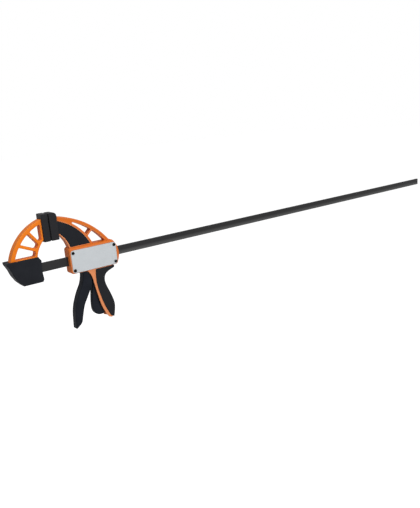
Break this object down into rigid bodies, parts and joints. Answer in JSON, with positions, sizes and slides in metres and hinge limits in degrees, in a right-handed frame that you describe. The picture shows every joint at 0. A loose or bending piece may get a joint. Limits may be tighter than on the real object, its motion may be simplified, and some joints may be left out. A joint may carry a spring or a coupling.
{
  "type": "quick release bar clamp",
  "caption": "Long one-handed bar clamp: flat steel bar, trussed fixed jaw with a keel-shaped foot, and a sliding head with pistol handle, squeeze trigger and release lever.",
  "frame": {"origin": "centre of the fixed pad's clamping face", "axes": "+X along the bar from the fixed jaw to the bar's free end, +Z from the bar towards the jaws, -Y towards the side with the screw heads"},
  "size_m": [1.5135, 0.0368, 0.2712],
  "materials": {
    "bar_steel": "rolled steel bar, black oxide, satin",
    "pin_steel": "ground steel",
    "orange_nylon": "glass-filled nylon, moulded, satin orange",
    "black_nylon": "glass-filled nylon, moulded, satin charcoal",
    "pad_rubber": "soft rubber boot, matt black",
    "grip_rubber": "overmoulded soft grip, matt black",
    "plate_steel": "pressed steel plate, pale satin silver",
    "screw_steel": "steel, black oxide",
    "plate_hard_steel": "hardened steel, oiled",
    "spring_steel": "drawn spring wire"
  },
  "bodies": {
    "bar_side": {"bar": "bar_steel", "bar_stop_pin": "pin_steel", "fixed_jaw_frame": "orange_nylon", "fixed_jaw_cover": "black_nylon", "fixed_jaw_pad": "pad_rubber", "fixed_jaw_pin": "pin_steel"},
    "head": {"body_frame": "orange_nylon", "moving_jaw_pad": "pad_rubber", "arm_inlay_near": "black_nylon", "arm_inlay_far": "black_nylon", "side_plate_near": "plate_steel", "side_plate_far": "plate_steel", "plate_screws": "screw_steel", "plate_nuts": "screw_steel", "handle_grip": "grip_rubber", "trigger_pin": "pin_steel", "release_pin": "pin_steel", "drive_spring": "spring_steel", "brake_spring": "spring_steel"},
    "trigger": {"trigger": "black_nylon"},
    "drive": {"drive_plates": "plate_hard_steel"},
    "brake": {"brake_plates": "plate_hard_steel"},
    "release": {"release_lever": "black_nylon"}
  },
  "joints": [
    {"name": "jaw_slide", "type": "slide", "parent": "bar_side", "child": "head", "axis": [1, 0, 0], "range_m": [-0.0021, 1.2478]},
    {"name": "trigger_squeeze", "type": "hinge", "parent": "head", "child": "trigger", "pos_m": [0.066, 0, -0.064], "axis": [0, -1, 0], "range_deg": [0, 15], "stiffness_Nm_per_rad": 1.2, "springref_deg": -8.59},
    {"name": "drive_slide", "type": "slide", "parent": "head", "child": "drive", "axis": [1, 0, 0], "range_m": [0, 0.0066], "deforming": ["drive_spring"]},
    {"name": "release_squeeze", "type": "hinge", "parent": "head", "child": "release", "pos_m": [0.101, 0, -0.1], "axis": [0, -1, 0], "range_deg": [0, 7], "stiffness_Nm_per_rad": 0.8, "springref_deg": -6.88},
    {"name": "brake_tilt", "type": "hinge", "parent": "head", "child": "brake", "pos_m": [0.119, 0, -0.0565], "axis": [0, -1, 0], "range_deg": [0, 2.1], "deforming": ["brake_spring"]}
  ],
  "couplings": [
    {"joint": "drive_slide", "follows": "trigger_squeeze", "m_per_rad": 0.025},
    {"joint": "brake_tilt", "follows": "release_squeeze", "ratio": 0.3}
  ]
}
